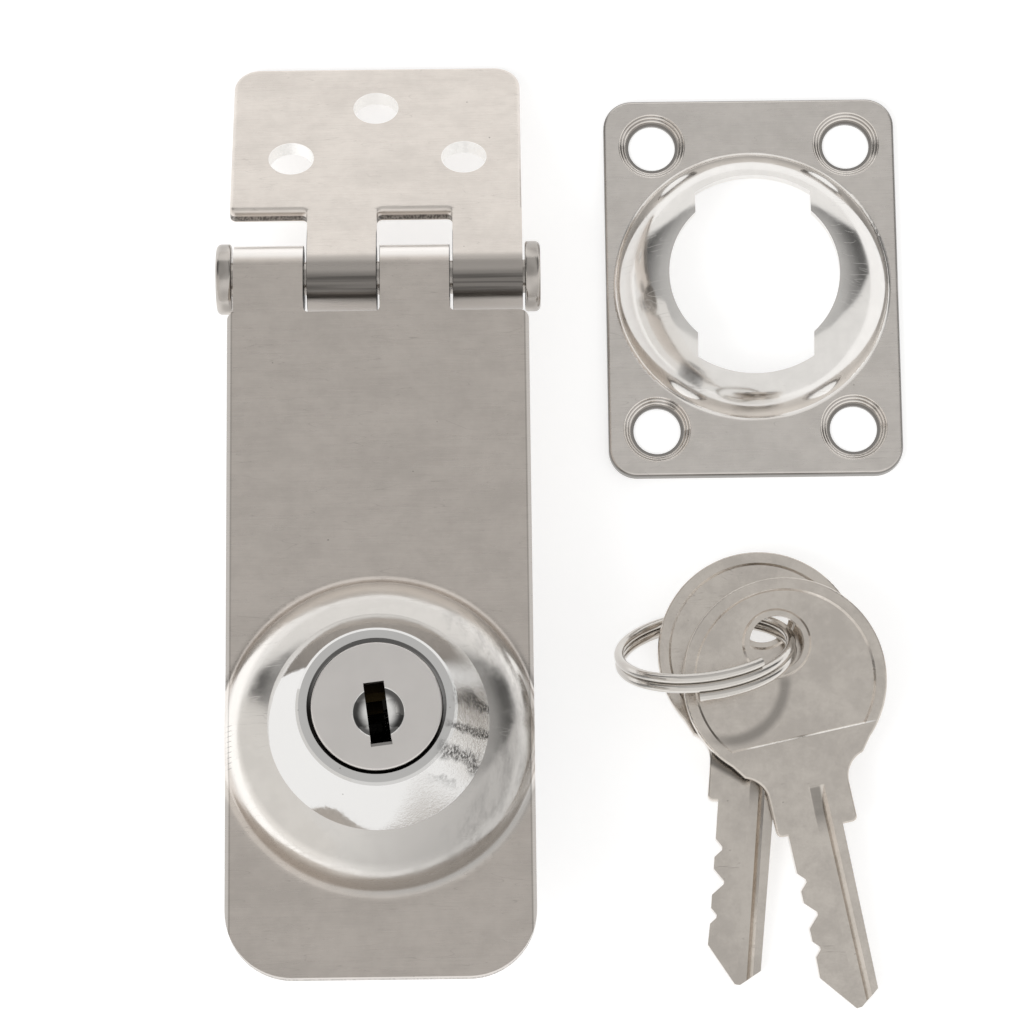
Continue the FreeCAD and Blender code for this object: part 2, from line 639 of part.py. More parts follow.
def make_key_ring():
    """Split ring: a flat coil of wire whose turns touch, leaning on the table as in the view."""
    pitch = 2 * wire_radius + 0.02
    middle = pitch * ring_sweep / 720.0
    turn = FreeCAD.Rotation(Z, ring_yaw) * FreeCAD.Rotation(X, -ring_lean) * FreeCAD.Rotation(Z, ring_start)
    points = []
    for k in range(ring_points + 1):
        a = ring_sweep * k / ring_points
        angle = math.radians(a)
        points.append(turn * V(ring_radius * math.cos(angle), ring_radius * math.sin(angle),
                               pitch * a / 360.0 - middle))
    curve = Part.BSplineCurve()
    curve.interpolate(points)
    edge = curve.toShape()
    first, last = edge.ParameterRange
    lowest = min(edge.valueAt(first + (last - first) * k / 400.0).z for k in range(401))
    circle = Part.Wire(Part.makeCircle(wire_radius, points[0], edge.tangentAt(first)))
    ring = Part.Wire(edge).makePipeShell([circle], True, True)
    ring.translate(V(ring_place.x, ring_place.y, wire_radius - lowest))
    return ring


def main():
    made = {
        "mount_leaf": leaf_to_table(make_mount_leaf()),
        "hasp_plate": to_table(make_hasp_plate()),
        "cylinder_housing": to_table(make_cylinder_housing()),
        "housing_washer": to_table(make_housing_washer()),
        "housing_nut": to_table(make_housing_nut()),
        "key_plug": to_table(make_key_plug()),
        "wafer_springs": to_table(make_wafer_springs()),
        "stop_pin": to_table(make_stop_pin()),
        "plug_clip": to_table(make_plug_clip()),
        "locking_cam": to_table(make_locking_cam()),
        "cam_washer": to_table(make_cam_washer()),
        "cam_screw": to_table(make_cam_screw()),
        "strike_plate": make_strike_plate(),
        "key_1": make_key(key_1_place, key_1_yaw),
        "key_2": make_key(key_2_place, key_2_yaw),
        "key_ring": make_key_ring(),
    }
    pin = make_hinge_pin()
    pin.translate(V(0, hinge_reach, -barrel))
    made["hinge_pin"] = to_table(pin)
    for i in range(len(cut_depths)):
        made["wafer_%d" % (i + 1)] = to_table(make_wafer(i))
    for name, shape in made.items():
        solids = shape.Solids
        if not solids or not shape.isValid():
            print("PROBLEM", name, len(solids), shape.isValid())
        shape.exportStep("parts/%s.step" % name)
        b = shape.BoundBox
        print("%-17s solids %d vol %8.1f x %.1f..%.1f y %.1f..%.1f z %.2f..%.2f" % (
            name, len(solids), shape.Volume, b.XMin, b.XMax, b.YMin, b.YMax, b.ZMin, b.ZMax))
    print("plate height", round(hasp_height(), 3), "leaf slope", round(leaf_slope(), 3),
          "hinge", [round(c, 3) for c in hinge_point()])


main()
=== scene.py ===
# %% [markdown]
# # A keyed hasp lock with its strike plate and keys
# The real object is a hinged steel hasp with a small cylinder lock clamped through a pressed
# boss, a flat strike plate with a matching boss, and two keys on a split ring. Every solid
# comes from the fixed frame, so this lesson is about finish: brushed sheet, bright plate,
# stamped keys, and a light that lets polished metal read as metal.

# %% Load the fixed frame
import math

import bpy
from mathutils import Matrix, Vector

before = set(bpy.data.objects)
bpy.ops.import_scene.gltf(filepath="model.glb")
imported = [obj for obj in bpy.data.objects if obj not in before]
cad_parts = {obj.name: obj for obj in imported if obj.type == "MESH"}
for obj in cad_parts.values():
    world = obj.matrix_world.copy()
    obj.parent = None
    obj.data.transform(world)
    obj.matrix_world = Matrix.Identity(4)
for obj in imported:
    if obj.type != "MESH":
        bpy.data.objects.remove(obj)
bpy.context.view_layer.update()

MM = 0.001
print("solids in the frame:", len(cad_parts))

# %% [markdown]
# ## The camera
# The product was photographed from almost straight above with a long lens. A camera can be
# aimed with a Track To constraint, or by writing its axes. The axes are written here, because
# the picture is also rolled by less than a degree, and a matrix keeps that roll exact.

# %% Camera above the table
CAMERA_PLACE = Vector((-33.307, -170.907, 603.645)) * MM
CAMERA_TARGET = Vector((-31.579, -29.482, 0.0)) * MM
CAMERA_ROLL = math.radians(0.7)
LENS_MM = 169.14
SENSOR_MM = 36.0
NEAREST_SEEN = 0.01


def aim_camera():
    data = bpy.data.cameras.new("view_camera")
    data.lens = LENS_MM
    data.sensor_width = SENSOR_MM
    data.sensor_height = SENSOR_MM
    data.clip_start = NEAREST_SEEN
    back = (CAMERA_PLACE - CAMERA_TARGET).normalized()
    right = Vector((math.cos(CAMERA_ROLL), -math.sin(CAMERA_ROLL), 0.0))
    up = back.cross(right).normalized()
    right = up.cross(back)
    turn = Matrix((right, up, back)).transposed()
    camera = bpy.data.objects.new("view_camera", data)
    camera.matrix_world = Matrix.Translation(CAMERA_PLACE) @ turn.to_4x4()
    bpy.context.scene.collection.objects.link(camera)
    bpy.context.scene.camera = camera


aim_camera()
bpy.context.scene.view_settings.view_transform = "Standard"
print("camera distance in mm:", round((CAMERA_PLACE - CAMERA_TARGET).length / MM))

# %% [markdown]
# ## A small kit for node graphs
# A material is a graph of nodes. It can be clicked together in the editor or written in code.
# In code a few helpers keep each recipe short. The first kit holds the plain steps that any
# graph needs, so it also builds the studio round the object. Most of them make masks: numbers
# that are 1 where something shows and 0 where it doesn't, with a soft slope between.

# %% Plain steps for any graph
class Graph:
    """Plain steps for any node tree."""

    def __init__(self, tree):
        self.tree = tree

    def add(self, kind, **settings):
        node = self.tree.nodes.new(kind)
        for key, value in settings.items():
            setattr(node, key, value)
        return node

    def join(self, source, target):
        self.tree.links.new(source, target)

    def feed(self, socket, value):
        """Link value if it is a socket, or set it if it is a number or a colour."""
        if isinstance(value, bpy.types.NodeSocket):
            self.join(value, socket)
        else:
            socket.default_value = value

    def math(self, operation, a, b=0.0):
        node = self.add("ShaderNodeMath", operation=operation)
        self.feed(node.inputs[0], a)
        self.feed(node.inputs[1], b)
        return node.outputs[0]

    def chain(self, operation, values):
        result = values[0]
        for value in values[1:]:
            result = self.math(operation, result, value)
        return result

    def total(self, *values):
        return self.chain("ADD", values)

    def product(self, *values):
        return self.chain("MULTIPLY", values)

    def largest(self, *values):
        return self.chain("MAXIMUM", values)

    def gap(self, value, middle):
        """How far a value is from middle, on either side."""
        return self.math("ABSOLUTE", self.math("SUBTRACT", value, middle))

    def rest(self, mask):
        """What a mask leaves over."""
        return self.math("SUBTRACT", 1.0, mask)

    def span(self, value, low, high, to_low=0.0, to_high=1.0):
        """Smooth slope from to_low at low to to_high at high, level beyond both."""
        node = self.add("ShaderNodeMapRange", interpolation_type="SMOOTHSTEP")
        self.feed(node.inputs["Value"], value)
        node.inputs["From Min"].default_value = low
        node.inputs["From Max"].default_value = high
        node.inputs["To Min"].default_value = to_low
        node.inputs["To Max"].default_value = to_high
        return node.outputs[0]

    def fall(self, value, low, high):
        """1 up to low, then a smooth slope down to 0 at high."""
        return self.span(value, low, high, 1.0, 0.0)

    def band(self, value, climb, drop):
        """1 between two soft limits, each given as the two values that its slope runs over."""
        return self.product(self.span(value, *climb), self.fall(value, *drop))

    def blend(self, amount, a, b):
        """Colour a where amount is 0 and colour b where it is 1."""
        node = self.add("ShaderNodeMix", data_type="RGBA")
        self.feed(node.inputs["Factor"], amount)
        self.feed(node.inputs["A"], a)
        self.feed(node.inputs["B"], b)
        return node.outputs["Result"]


print("plain steps ready")

# %% [markdown]
# ## Steps for a surface
# A pattern needs a place to start from. Object coordinates stay with the piece when a joint
# moves it, so every recipe starts from them, turned into millimetres. Distances from a point
# or along a direction then put each mark where the real one is. Bumps are laid one over
# another, the broad ones first.

# %% Steps for one material
RIGHT, LEFT = (1, 0, 0), (-1, 0, 0)
BACK, FRONT = (0, 1, 0), (0, -1, 0)
UP = (0, 0, 1)
EVEN = (1, 1, 1)


class Recipe(Graph):
    """One material's graph, with object coordinates in millimetres as its starting point."""

    def __init__(self, name):
        self.material = bpy.data.materials.new(name)
        self.material.use_nodes = True
        super().__init__(self.material.node_tree)
        self.shader = self.tree.nodes["Principled BSDF"]
        coordinates = self.add("ShaderNodeTexCoord")
        scale = self.add("ShaderNodeVectorMath", operation="SCALE")
        scale.inputs["Scale"].default_value = 1.0 / MM
        self.join(coordinates.outputs["Object"], scale.inputs[0])
        self.place = scale.outputs[0]

    def mapped(self, stretch=EVEN, turn=0.0, centre=(0, 0, 0)):
        node = self.add("ShaderNodeMapping")
        node.inputs["Location"].default_value = centre
        node.inputs["Rotation"].default_value = (0, 0, math.radians(turn))
        node.inputs["Scale"].default_value = stretch
        self.join(self.place, node.inputs["Vector"])
        return node.outputs[0]

    def noise(self, scale, stretch=EVEN, turn=0.0, detail=2.0, rough=0.5, centre=(0, 0, 0)):
        """Noise with features about 1 / scale millimetres wide, pulled out by stretch."""
        node = self.add("ShaderNodeTexNoise")
        node.inputs["Scale"].default_value = scale
        node.inputs["Detail"].default_value = detail
        node.inputs["Roughness"].default_value = rough
        self.join(self.mapped(stretch, turn, centre), node.inputs["Vector"])
        return node.outputs[0]

    def counted_from(self, origin):
        """The place on the surface, counted from a point in millimetres."""
        node = self.add("ShaderNodeVectorMath", operation="SUBTRACT")
        self.join(self.place, node.inputs[0])
        node.inputs[1].default_value = origin
        return node.outputs[0]

    def distance(self, centre, axes=(1, 1, 0)):
        """Distance in millimetres from a point, counted along the axes given."""
        flat = self.add("ShaderNodeVectorMath", operation="MULTIPLY")
        self.join(self.counted_from(centre), flat.inputs[0])
        flat.inputs[1].default_value = axes
        length = self.add("ShaderNodeVectorMath", operation="LENGTH")
        self.join(flat.outputs[0], length.inputs[0])
        return length.outputs["Value"]

    def along(self, direction, origin=(0, 0, 0)):
        """Signed distance in millimetres from origin along a direction."""
        dot = self.add("ShaderNodeVectorMath", operation="DOT_PRODUCT")
        self.join(self.counted_from(origin), dot.inputs[0])
        dot.inputs[1].default_value = direction
        return dot.outputs["Value"]

    def reach(self, u, v):
        """Length of two distances at right angles."""
        return self.math("SQRT", self.total(self.product(u, u), self.product(v, v)))

    def over(self, tone, colour, mask, most=1.0):
        """Lay a colour over a tone where a mask is 1, at most by the share given."""
        if most < 1.0:
            mask = self.product(mask, most)
        return self.blend(mask, tone, colour)

    def relief(self, height, depth_mm, below=None):
        """Bump from a 0 to 1 height that stands depth_mm high, over an earlier bump if given."""
        node = self.add("ShaderNodeBump")
        node.inputs["Strength"].default_value = 1.0
        node.inputs["Distance"].default_value = depth_mm * MM
        self.join(height, node.inputs["Height"])
        if below is not None:
            self.join(below, node.inputs["Normal"])
        return node.outputs[0]

    def reliefs(self, *steps):
        """Bumps laid one over another, each given as its height and depth_mm."""
        normal = None
        for height, depth_mm in steps:
            normal = self.relief(height, depth_mm, normal)
        return normal

    def metal(self, colour, roughness, normal):
        self.shader.inputs["Metallic"].default_value = 1.0
        self.feed(self.shader.inputs["Base Color"], colour)
        self.feed(self.shader.inputs["Roughness"], roughness)
        self.join(normal, self.shader.inputs["Normal"])
        return self.material


def tint(colour, factor):
    return tuple(c * factor for c in colour[:3]) + (1,)


print("surface steps ready")

# %% [markdown]
# ## Marks of handling
# New steel sheet still carries fine scratches and pits. They could be painted by hand. Here a
# scratch is noise pulled out so far that only its crests show as thin lines, and a second
# noise breaks the lines into short strokes. A pit is the middle of a Voronoi cell.

# %% Scratches and pits
PIT_COLOUR = (0.16, 0.15, 0.14, 1)
STROKE_CROWDING = 3.2
STROKE_WIDTH = 0.0072


def scratches(recipe, turn, spacing=2.6, length=9.0, seed=0.0, rare=0.62):
    """Thin strokes across the surface: 1 on a stroke and 0 beside it. The higher rare is, the
    fewer of them are left."""
    stretch = (1.0 / length, 1.0 / spacing * STROKE_CROWDING, 0.35)
    crest = recipe.noise(1.0, stretch, turn, detail=0.0, centre=(seed, seed, 0))
    line = recipe.fall(recipe.gap(crest, 0.5), 0.0, STROKE_WIDTH)
    part = recipe.noise(0.16, detail=1.0, centre=(seed * 3.1, 7.0, 0))
    return recipe.product(line, recipe.span(part, rare, rare + 0.05))


def pits(recipe, cell=3.6, size=0.16, share=0.45):
    """Small round dents, one in some of the cells."""
    node = recipe.add("ShaderNodeTexVoronoi")
    node.inputs["Scale"].default_value = 1.0 / cell
    recipe.join(recipe.mapped(), node.inputs["Vector"])
    dot = recipe.fall(node.outputs["Distance"], size / cell * 0.4, size / cell)
    chosen = recipe.add("ShaderNodeSeparateColor")
    recipe.join(node.outputs["Color"], chosen.inputs[0])
    return recipe.product(dot, recipe.span(chosen.outputs[0], 1 - share, 1 - share + 0.02))


print("marks ready")

# %% [markdown]
# ## Brushed sheet steel
# Hasp, leaf and strike are stamped from fine brushed stainless sheet. The brushing is noise
# pulled out across the plate. One noise alone looks printed, so wide clouds and a fine mottle
# are added to it, and scratches and pits lie on top. The hasp leans on its cam, so the
# direction of its axis and of its sheet is worked out once, from that lean.

# %% Where the lock and the hinge lie
LEAN = math.radians(2.92)
LOCK_POINT = (-48.2, -62.7, 22.166)
LOCK_AXIS = (0.0, math.sin(LEAN), math.cos(LEAN))
PLATE_AXIS = (0.0, math.cos(LEAN), -math.sin(LEAN))
HINGE_POINT = (-48.2, -2.193, 14.874)
print("hinge to lock in mm:", round(HINGE_POINT[1] - LOCK_POINT[1], 1))


# %% Brushed skin
def brushed(recipe, colour, rare=0.62):
    """Fine brushing with soft clouds, a few hairline scratches and pits: tone, roughness and
    normal."""
    fine = recipe.noise(1.0, (0.16, 6.5, 6.5), detail=3.0, rough=0.6)
    cloud = recipe.noise(0.10, (1, 2, 1), detail=5.0, rough=0.6)
    mottle = recipe.noise(0.55, detail=3.0, rough=0.65)
    skin = recipe.total(recipe.product(fine, 0.22), recipe.product(cloud, 0.48),
                        recipe.product(mottle, 0.30))
    tone = recipe.blend(recipe.span(skin, 0.36, 0.64), tint(colour, 0.91), tint(colour, 1.04))
    lines = recipe.largest(scratches(recipe, 28.0, seed=3.0, rare=rare),
                           scratches(recipe, -17.0, seed=11.0, rare=rare),
                           scratches(recipe, 74.0, spacing=3.4, seed=23.0, rare=rare))
    dots = pits(recipe)
    tone = recipe.over(tone, tint(colour, 0.62), lines, 0.42)
    tone = recipe.over(tone, PIT_COLOUR, dots, 0.6)
    normal = recipe.reliefs((cloud, 0.012), (fine, 0.0009), (lines, -0.004), (dots, -0.03))
    return tone, recipe.span(fine, 0.2, 0.8, 0.26, 0.33), normal


print("brushed skin ready")

# %% [markdown]
# ## Punched edges and the hinge's gaps
# A punch cuts the upper part of a sheet clean and tears the lower part, so a stamped edge shows
# short upright lines below; its lower half is also darkened as painted shade. Between the
# knuckles of the hinge the side walls are painted near black as painted shade. Both are masks:
# one from the height over the sheet's top face, the other from the distance to each side wall of
# a knuckle.

# %% Torn edges and knuckle gaps, with painted shade
TORN_TOP, TORN_FOOT = (-1.15, -0.95), (-1.90, -1.80)
GAP_WIDTH, GAP_REACH = (0.04, 0.06), (5.6, 6.4)
GAP_SHADE_COLOUR = (0.03, 0.028, 0.026, 1)


def torn_edge_with_shade(recipe, tone, colour, height, where, low=0.45, high=0.85):
    """Lower half of a punched edge: its torn texture is real, and it is darkened as painted
    shade.
    height is counted up from the sheet's top face, and where is the mask of the stretch that was
    punched."""
    upright = recipe.noise(1.0, (5.0, 5.0, 0.25))
    torn = recipe.blend(recipe.span(upright, 0.35, 0.65), tint(colour, low), tint(colour, high))
    mask = recipe.product(recipe.fall(height, *TORN_TOP), recipe.span(height, *TORN_FOOT), where)
    return recipe.over(tone, torn, mask)


def knuckle_gaps(recipe, tone, walls):
    """Painted shade, near black, on the side walls of the knuckles, each given by its distance
    across from the lock's middle."""
    across = recipe.along(RIGHT, LOCK_POINT)
    near = [recipe.fall(recipe.gap(across, wall), *GAP_WIDTH) for wall in walls]
    around = recipe.fall(recipe.distance(HINGE_POINT, (0, 1, 1)), *GAP_REACH)
    return recipe.over(tone, GAP_SHADE_COLOUR, recipe.product(recipe.largest(*near), around))


print("edges and gaps ready")

# %% [markdown]
# ## The buffed boss
# Each plate's pressed boss is buffed bright after the sheet is brushed. Both finishes are on
# one solid, so one material holds both, and a soft mask round the boss blends them as the
# buffing wheel does. The wheel wanders a little, so the mask's edge is slightly wavy, and it
# presses harder in the hollow at the boss's foot, which comes out brighter.

# %% Buffed boss
def buffed_boss(recipe, skin, colour, centre, radius, foot_band, gloss):
    """Lay a buffed boss over a brushed skin. The band rubbed along its foot is given as three
    distances inside the mask's radius, and gloss as the least and most roughness."""
    tone, surface, normal = skin
    ripple = recipe.noise(0.22, detail=1.0)
    far = recipe.distance(centre)
    edge = recipe.total(far, recipe.product(ripple, 0.6))
    mask = recipe.fall(edge, radius, radius + 0.5)
    haze = recipe.noise(0.35, (1, 1, 0.5), detail=3.0, rough=0.6)
    bright = recipe.blend(recipe.span(haze, 0.35, 0.65), tint(colour, 0.95), colour)
    outer, middle, inner = (radius - inset for inset in foot_band)
    foot = recipe.product(recipe.span(far, inner, middle),
                          recipe.span(far, (middle + outer) / 2, outer, 1.0, 0.25))
    bright = recipe.over(bright, tint(colour, 1.20), foot)
    tone = recipe.over(tone, bright, mask)
    surface = recipe.total(recipe.product(surface, recipe.rest(mask)),
                           recipe.product(mask, recipe.span(haze, 0.35, 0.7, *gloss)))
    wave = recipe.product(recipe.noise(0.16, detail=1.0), mask)
    return tone, surface, recipe.relief(wave, 0.08, normal), far


print("buffing ready")

# %% [markdown]
# ## The hasp plate
# This is the piece that the eye meets first, so it carries the most marks: short file strokes
# at its left edge, dark smears at the right of the boss, a pale burr along both long edges
# and a painted highlight on the crown of each knuckle. The front right of the boss is darkened
# with painted shade. Each mark is laid over the tone by a function of its own, which keeps the
# recipe readable and lets one mark be changed without the others.

# %% Marks on the hasp plate
FILED_POINT = (0, -64.4, 0)
STROKES_PER_MM = 1.55
FILED_IN, FILED_FRONT, FILED_BACK = (17.9, 18.2), (-3.2, -3.0), (2.6, 2.8)
SMEAR_FROM, SMEAR_TO, SMEAR_RIGHT = (14.0, 16.0), (18.5, 20.0), (6.0, 11.0)
BURR_COLOUR = (0.86, 0.82, 0.78, 1)
BURR_FROM, DARK_LINE = (18.54, 18.62), ((18.32, 18.42), (18.48, 18.56))
KNUCKLE_HIGHLIGHT = (0.97, 0.94, 0.91, 1)
KNUCKLE_BACK, KNUCKLE_TOP = (-0.9, 0.1), (15.0, 16.0)


def file_marks(recipe, tone):
    """Hatch of short file marks on the left edge beside the boss."""
    step = recipe.math("FRACT", recipe.product(recipe.along(BACK), STROKES_PER_MM))
    beside = recipe.along(BACK, FILED_POINT)
    hatch = recipe.product(recipe.fall(step, 0.0, 0.24),
                           recipe.span(recipe.along(LEFT, LOCK_POINT), *FILED_IN),
                           recipe.span(beside, *FILED_FRONT), recipe.fall(beside, *FILED_BACK))
    return recipe.over(tone, PIT_COLOUR, hatch, 0.65)


def boss_smears(recipe, tone, colour, far):
    """Dark smears that run off the boss at its right."""
    streaky = recipe.noise(0.40, (1.0, 0.35, 1.0), 25.0, detail=4.0, rough=0.7)
    smear = recipe.product(recipe.span(streaky, 0.40, 0.72), recipe.span(far, *SMEAR_FROM),
                           recipe.fall(far, *SMEAR_TO),
                           recipe.span(recipe.along(RIGHT, LOCK_POINT), *SMEAR_RIGHT))
    return recipe.over(tone, tint(colour, 0.30), smear, 0.45)


def shear_burr(recipe, tone):
    """Pale burr along both long edges, with a thin dark line inside it."""
    side = recipe.math("ABSOLUTE", recipe.along(RIGHT, LOCK_POINT))
    tone = recipe.over(tone, PIT_COLOUR, recipe.band(side, *DARK_LINE), 0.35)
    return recipe.over(tone, BURR_COLOUR, recipe.span(side, *BURR_FROM), 0.75)


def knuckle_highlights(recipe, tone):
    """Painted highlight on the crown of each of the plate's knuckles."""
    crown = recipe.product(recipe.span(recipe.along(BACK), *KNUCKLE_BACK),
                           recipe.span(recipe.along(UP), *KNUCKLE_TOP))
    return recipe.over(tone, KNUCKLE_HIGHLIGHT, crown, 0.85)


print("hasp marks ready")

# %% Hasp plate
PLATE_COLOUR = (0.615, 0.565, 0.520, 1)
HASP_BUFFED = (0.720, 0.695, 0.665, 1)
HASP_BOSS = (LOCK_POINT[0], LOCK_POINT[1] + 0.2, 0.0)
HASP_BOSS_RADIUS, HASP_FOOT_BAND, HASP_GLOSS = 18.9, (0.0, 1.3, 2.1), (0.16, 0.26)
FRONT_RIGHT_SHADE_ACROSS, FRONT_RIGHT_SHADE_EDGE = (2.0, 19.0), (19.8, 20.8)
FLAT_FROM, FLAT_TO = (20.6, 21.6), (55.3, 55.6)
HASP_WALLS = (-9.45, 0.20, 9.05)


def hasp_sheet():
    recipe = Recipe("hasp_sheet_steel")
    tone, surface, normal, far = buffed_boss(
        recipe, brushed(recipe, PLATE_COLOUR, rare=0.57), HASP_BUFFED,
        HASP_BOSS, HASP_BOSS_RADIUS, HASP_FOOT_BAND, HASP_GLOSS)
    # painted shade: the boss is darkened towards its front right
    to_front_right = recipe.along((0.75, -0.66, 0.0), LOCK_POINT)
    thin = recipe.product(recipe.span(to_front_right, *FRONT_RIGHT_SHADE_ACROSS), recipe.fall(far, *FRONT_RIGHT_SHADE_EDGE))
    tone = recipe.over(tone, tint(HASP_BUFFED, 0.66), thin)
    tone = file_marks(recipe, tone)
    tone = boss_smears(recipe, tone, HASP_BUFFED, far)
    tone = shear_burr(recipe, tone)
    tone = knuckle_highlights(recipe, tone)
    # only the flat sheet was punched, not the rolled knuckles or the pressed boss
    punched = recipe.product(recipe.fall(recipe.along(PLATE_AXIS, LOCK_POINT), *FLAT_TO),
                             recipe.span(far, *FLAT_FROM))
    # painted shade on the torn lower half of the punched edge
    tone = torn_edge_with_shade(recipe, tone, PLATE_COLOUR, recipe.along(LOCK_AXIS, LOCK_POINT), punched)
    tone = knuckle_gaps(recipe, tone, HASP_WALLS)
    return recipe.metal(tone, surface, normal)


hasp_steel = hasp_sheet()
print("finish:", hasp_steel.name)

# %% [markdown]
# ## The strike plate
# It is a thinner sheet of the same kind, and its boss is buffed brighter. The four countersinks
# were cut by a turning tool, so they show fine rings. They lie alike about the middle, so the
# distances from it are made positive first, and one ring pattern then serves all four.

# %% Strike plate
STRIKE_COLOUR = (0.735, 0.695, 0.655, 1)
STRIKE_BUFFED = (0.800, 0.780, 0.755, 1)
STRIKE_BOSS = (0, 0, 0)
STRIKE_BOSS_RADIUS, STRIKE_FOOT_BAND, STRIKE_GLOSS = 18.0, (0.2, 0.5, 0.9), (0.11, 0.17)
ROLLED_TOP, ROLLED_FOOT, ROLLED_FROM = (1.38, 1.46), (0.05, 0.10), (18.6, 19.0)
SCREW_ACROSS, SCREW_ALONG = 12.7, 19.1
SINK_EDGE, SINK_FOOT = (4.30, 4.42), (3.30, 3.60)
RING_CROWDING = 18.0


def strike_sheet():
    recipe = Recipe("strike_sheet_steel")
    tone, surface, normal, far = buffed_boss(
        recipe, brushed(recipe, STRIKE_COLOUR), STRIKE_BUFFED,
        STRIKE_BOSS, STRIKE_BOSS_RADIUS, STRIKE_FOOT_BAND, STRIKE_GLOSS)
    # the outer edge is rounded, and painted darker than the face as painted shade
    height = recipe.along(UP)
    rolled = recipe.product(recipe.fall(height, *ROLLED_TOP), recipe.span(height, *ROLLED_FOOT),
                            recipe.span(far, *ROLLED_FROM))
    tone = recipe.over(tone, tint(STRIKE_COLOUR, 0.20), rolled, 0.8)
    # turned rings in the four countersinks, with painted shade towards the hole
    across = recipe.math("SUBTRACT", recipe.math("ABSOLUTE", recipe.along(RIGHT)), SCREW_ACROSS)
    along = recipe.math("SUBTRACT", recipe.math("ABSOLUTE", recipe.along(BACK)), SCREW_ALONG)
    out = recipe.reach(across, along)
    ring = recipe.span(recipe.math("SINE", recipe.product(out, RING_CROWDING)), -1.0, 1.0)
    sink = recipe.fall(out, *SINK_EDGE)
    turned = recipe.blend(ring, tint(STRIKE_COLOUR, 0.62), tint(STRIKE_COLOUR, 1.15))
    turned = recipe.over(turned, tint(STRIKE_COLOUR, 0.42), recipe.fall(out, *SINK_FOOT))
    tone = recipe.over(tone, turned, sink)
    surface = recipe.math("SUBTRACT", surface, recipe.product(sink, 0.14))
    normal = recipe.relief(recipe.product(ring, sink), 0.02, normal)
    return recipe.metal(tone, surface, normal)


strike_steel = strike_sheet()
print("finish:", strike_steel.name)

# %% [markdown]
# ## The mounting leaf
# The leaf lies flatter to the light and looks paler. Its screw-hole walls are burnished by the
# punch and also painted near white as painted light, and the two tabs that roll round the pin
# are painted dark as a painted reflection, from their crown down to a bright lip. The leaf
# slopes, so its marks are placed along its own slope from the hinge.

# %% Mounting leaf
LEAF_COLOUR = (0.752, 0.698, 0.648, 1)
HOLE_WALL_BRIGHT = (0.99, 0.98, 0.96, 1)
LEAF_SLOPE = math.radians(28.867)
LEAF_NORMAL = (0.0, math.sin(LEAF_SLOPE), math.cos(LEAF_SLOPE))
LEAF_AXIS = (0.0, math.cos(LEAF_SLOPE), -math.sin(LEAF_SLOPE))
LEAF_HOLES = ((-11.3, 17.65), (-0.45, 26.95), (10.95, 17.65))
LEAF_HOLE_WALL = (2.88, 2.96)
LEAF_WALLS = (-9.05, -0.20, 9.45)
ROLL_RADIUS = 4.2
ROLL_END = (7.2, 7.5)
TAB_CROWN, TAB_TURN, TAB_LIP = (-0.7, 0.3), (-3.3, -2.1), (-5.9, -5.3)


def hole_walls(recipe, down):
    """1 on the walls of the three screw holes."""
    across = recipe.along(RIGHT, HINGE_POINT)
    walls = []
    for x, y in LEAF_HOLES:
        out = recipe.reach(recipe.math("SUBTRACT", across, x), recipe.math("SUBTRACT", down, y))
        walls.append(recipe.fall(out, *LEAF_HOLE_WALL))
    return recipe.largest(*walls)


def tabs_painted_dark(recipe, tone):
    """The rolled tabs, painted dark as a painted reflection: grey near the crown, then streaky
    and dark down to the lip.
    """
    back = recipe.along(BACK)
    tone = recipe.over(tone, tint(LEAF_COLOUR, 0.62), recipe.fall(back, *TAB_CROWN))
    streaks = recipe.noise(1.0, (0.05, 2.2, 2.2), detail=1.0)
    dark = recipe.blend(recipe.span(streaks, 0.35, 0.65), tint(LEAF_COLOUR, 0.16),
                        tint(LEAF_COLOUR, 0.27))
    rolled = recipe.product(recipe.fall(back, *TAB_TURN), recipe.span(back, *TAB_LIP))
    return recipe.over(tone, dark, rolled)


def leaf_sheet():
    recipe = Recipe("leaf_sheet_steel")
    tone, surface, normal = brushed(recipe, LEAF_COLOUR, rare=0.56)
    down = recipe.along(LEAF_AXIS, HINGE_POINT)
    height = recipe.math("SUBTRACT", recipe.along(LEAF_NORMAL, HINGE_POINT), ROLL_RADIUS)
    bright_hole_walls = hole_walls(recipe, down)
    punched = recipe.product(recipe.span(down, *ROLL_END), recipe.rest(bright_hole_walls))
    # painted shade on the torn lower half of the punched edges
    tone = torn_edge_with_shade(recipe, tone, LEAF_COLOUR, height, punched, 0.16, 0.45)
    # painted light: the burnished walls of the screw holes are painted near white
    tone = recipe.over(tone, HOLE_WALL_BRIGHT, bright_hole_walls)
    # painted dark reflection on the rolled tabs
    tone = tabs_painted_dark(recipe, tone)
    tone = knuckle_gaps(recipe, tone, LEAF_WALLS)
    return recipe.metal(tone, surface, normal)


leaf_steel = leaf_sheet()
print("finish:", leaf_steel.name)

# %% [markdown]
# ## The chromed cone
# Chrome shows only soft waves and a few specks of dirt, because it is a mirror. What makes it
# look like a real casting is that the polish is uneven: at the right the skin is pebbled, and
# dark folds are painted there as a painted reflection of the dark studio. The groove round the
# plug is a deep shadow line.

# %% Chromed cone
CHROME_COLOUR = (0.690, 0.683, 0.672, 1)
FOLD_REFLECTION_COLOUR = (0.07, 0.067, 0.064, 1)
GROOVE_BACK = (0.30, 0.295, 0.29, 1)
DARK_INSIDE = (0.012, 0.011, 0.010, 1)
FACE_LEVEL = 15.5
FACE_POINT = tuple(p + FACE_LEVEL * u for p, u in zip(LOCK_POINT, LOCK_AXIS))
GROOVE_DEPTH, GROOVE_WALL = (-0.35, -0.15), (8.44, 8.50)
PEBBLED_RIGHT, FOLDS_RIGHT = (4.0, 9.0), (8.0, 10.5)
FOLDS_FRONT, FOLDS_BACK = (-9.0, -6.0), (2.5, 5.0)


